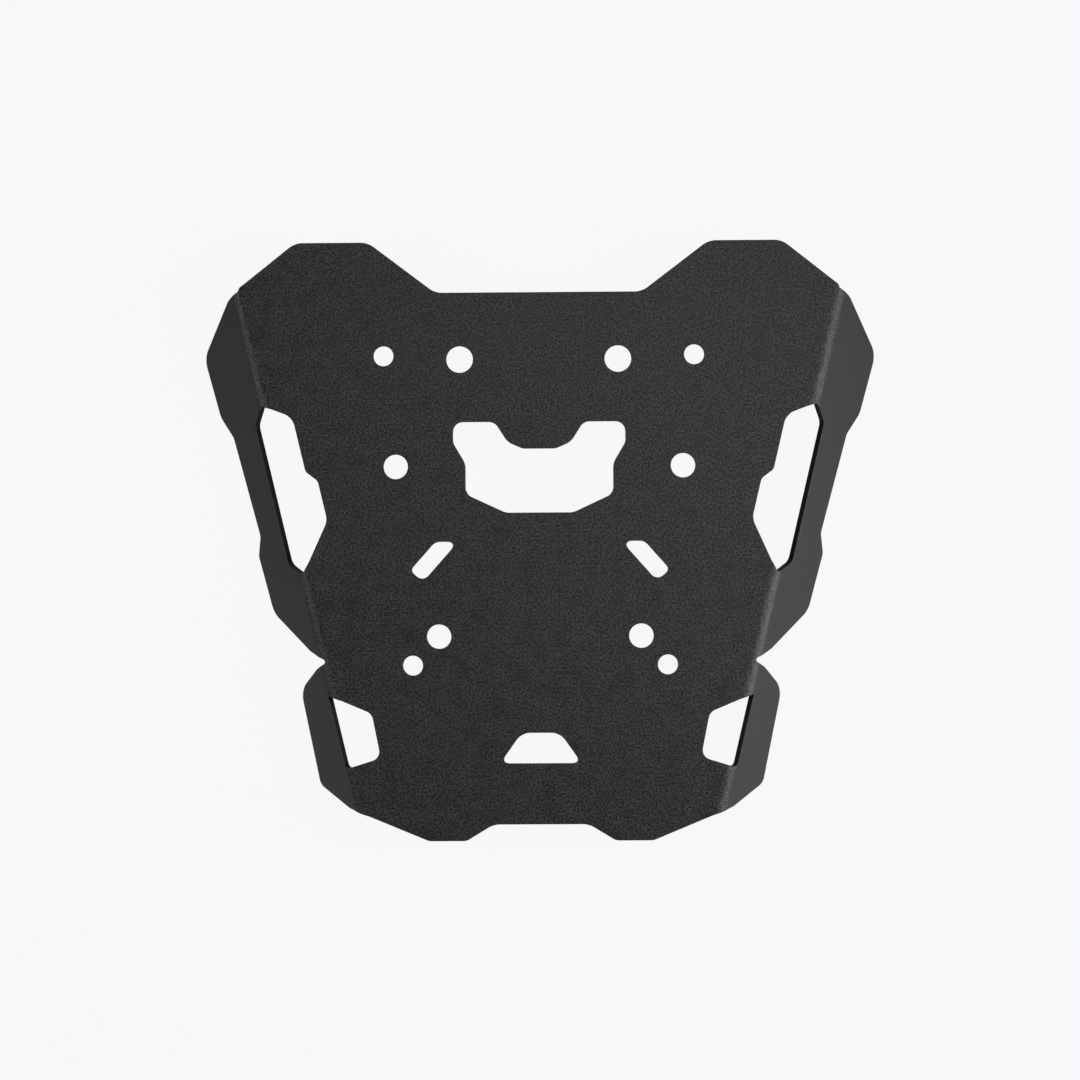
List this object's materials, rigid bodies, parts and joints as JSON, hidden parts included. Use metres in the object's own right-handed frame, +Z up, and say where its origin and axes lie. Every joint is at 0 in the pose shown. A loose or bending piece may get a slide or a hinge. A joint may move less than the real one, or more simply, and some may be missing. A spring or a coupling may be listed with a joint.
{
  "type": "motorcycle luggage rack",
  "caption": "Flat sheet-metal rear rack with a wing folded down along each side, strap windows, slanted slots, a handle window and bolt holes.",
  "frame": {"origin": "on the surface that the rack stands on, under the middle of its length and width", "axes": "+Y to the front of the rack, where the two ears are, +X to the right, +Z up out of the deck"},
  "size_m": [0.3054, 0.2698, 0.0252],
  "materials": {
    "powder_coated_sheet": "matt fine-texture powder coat"
  },
  "bodies": {
    "root": {"rack_plate": "powder_coated_sheet"}
  },
  "joints": []
}
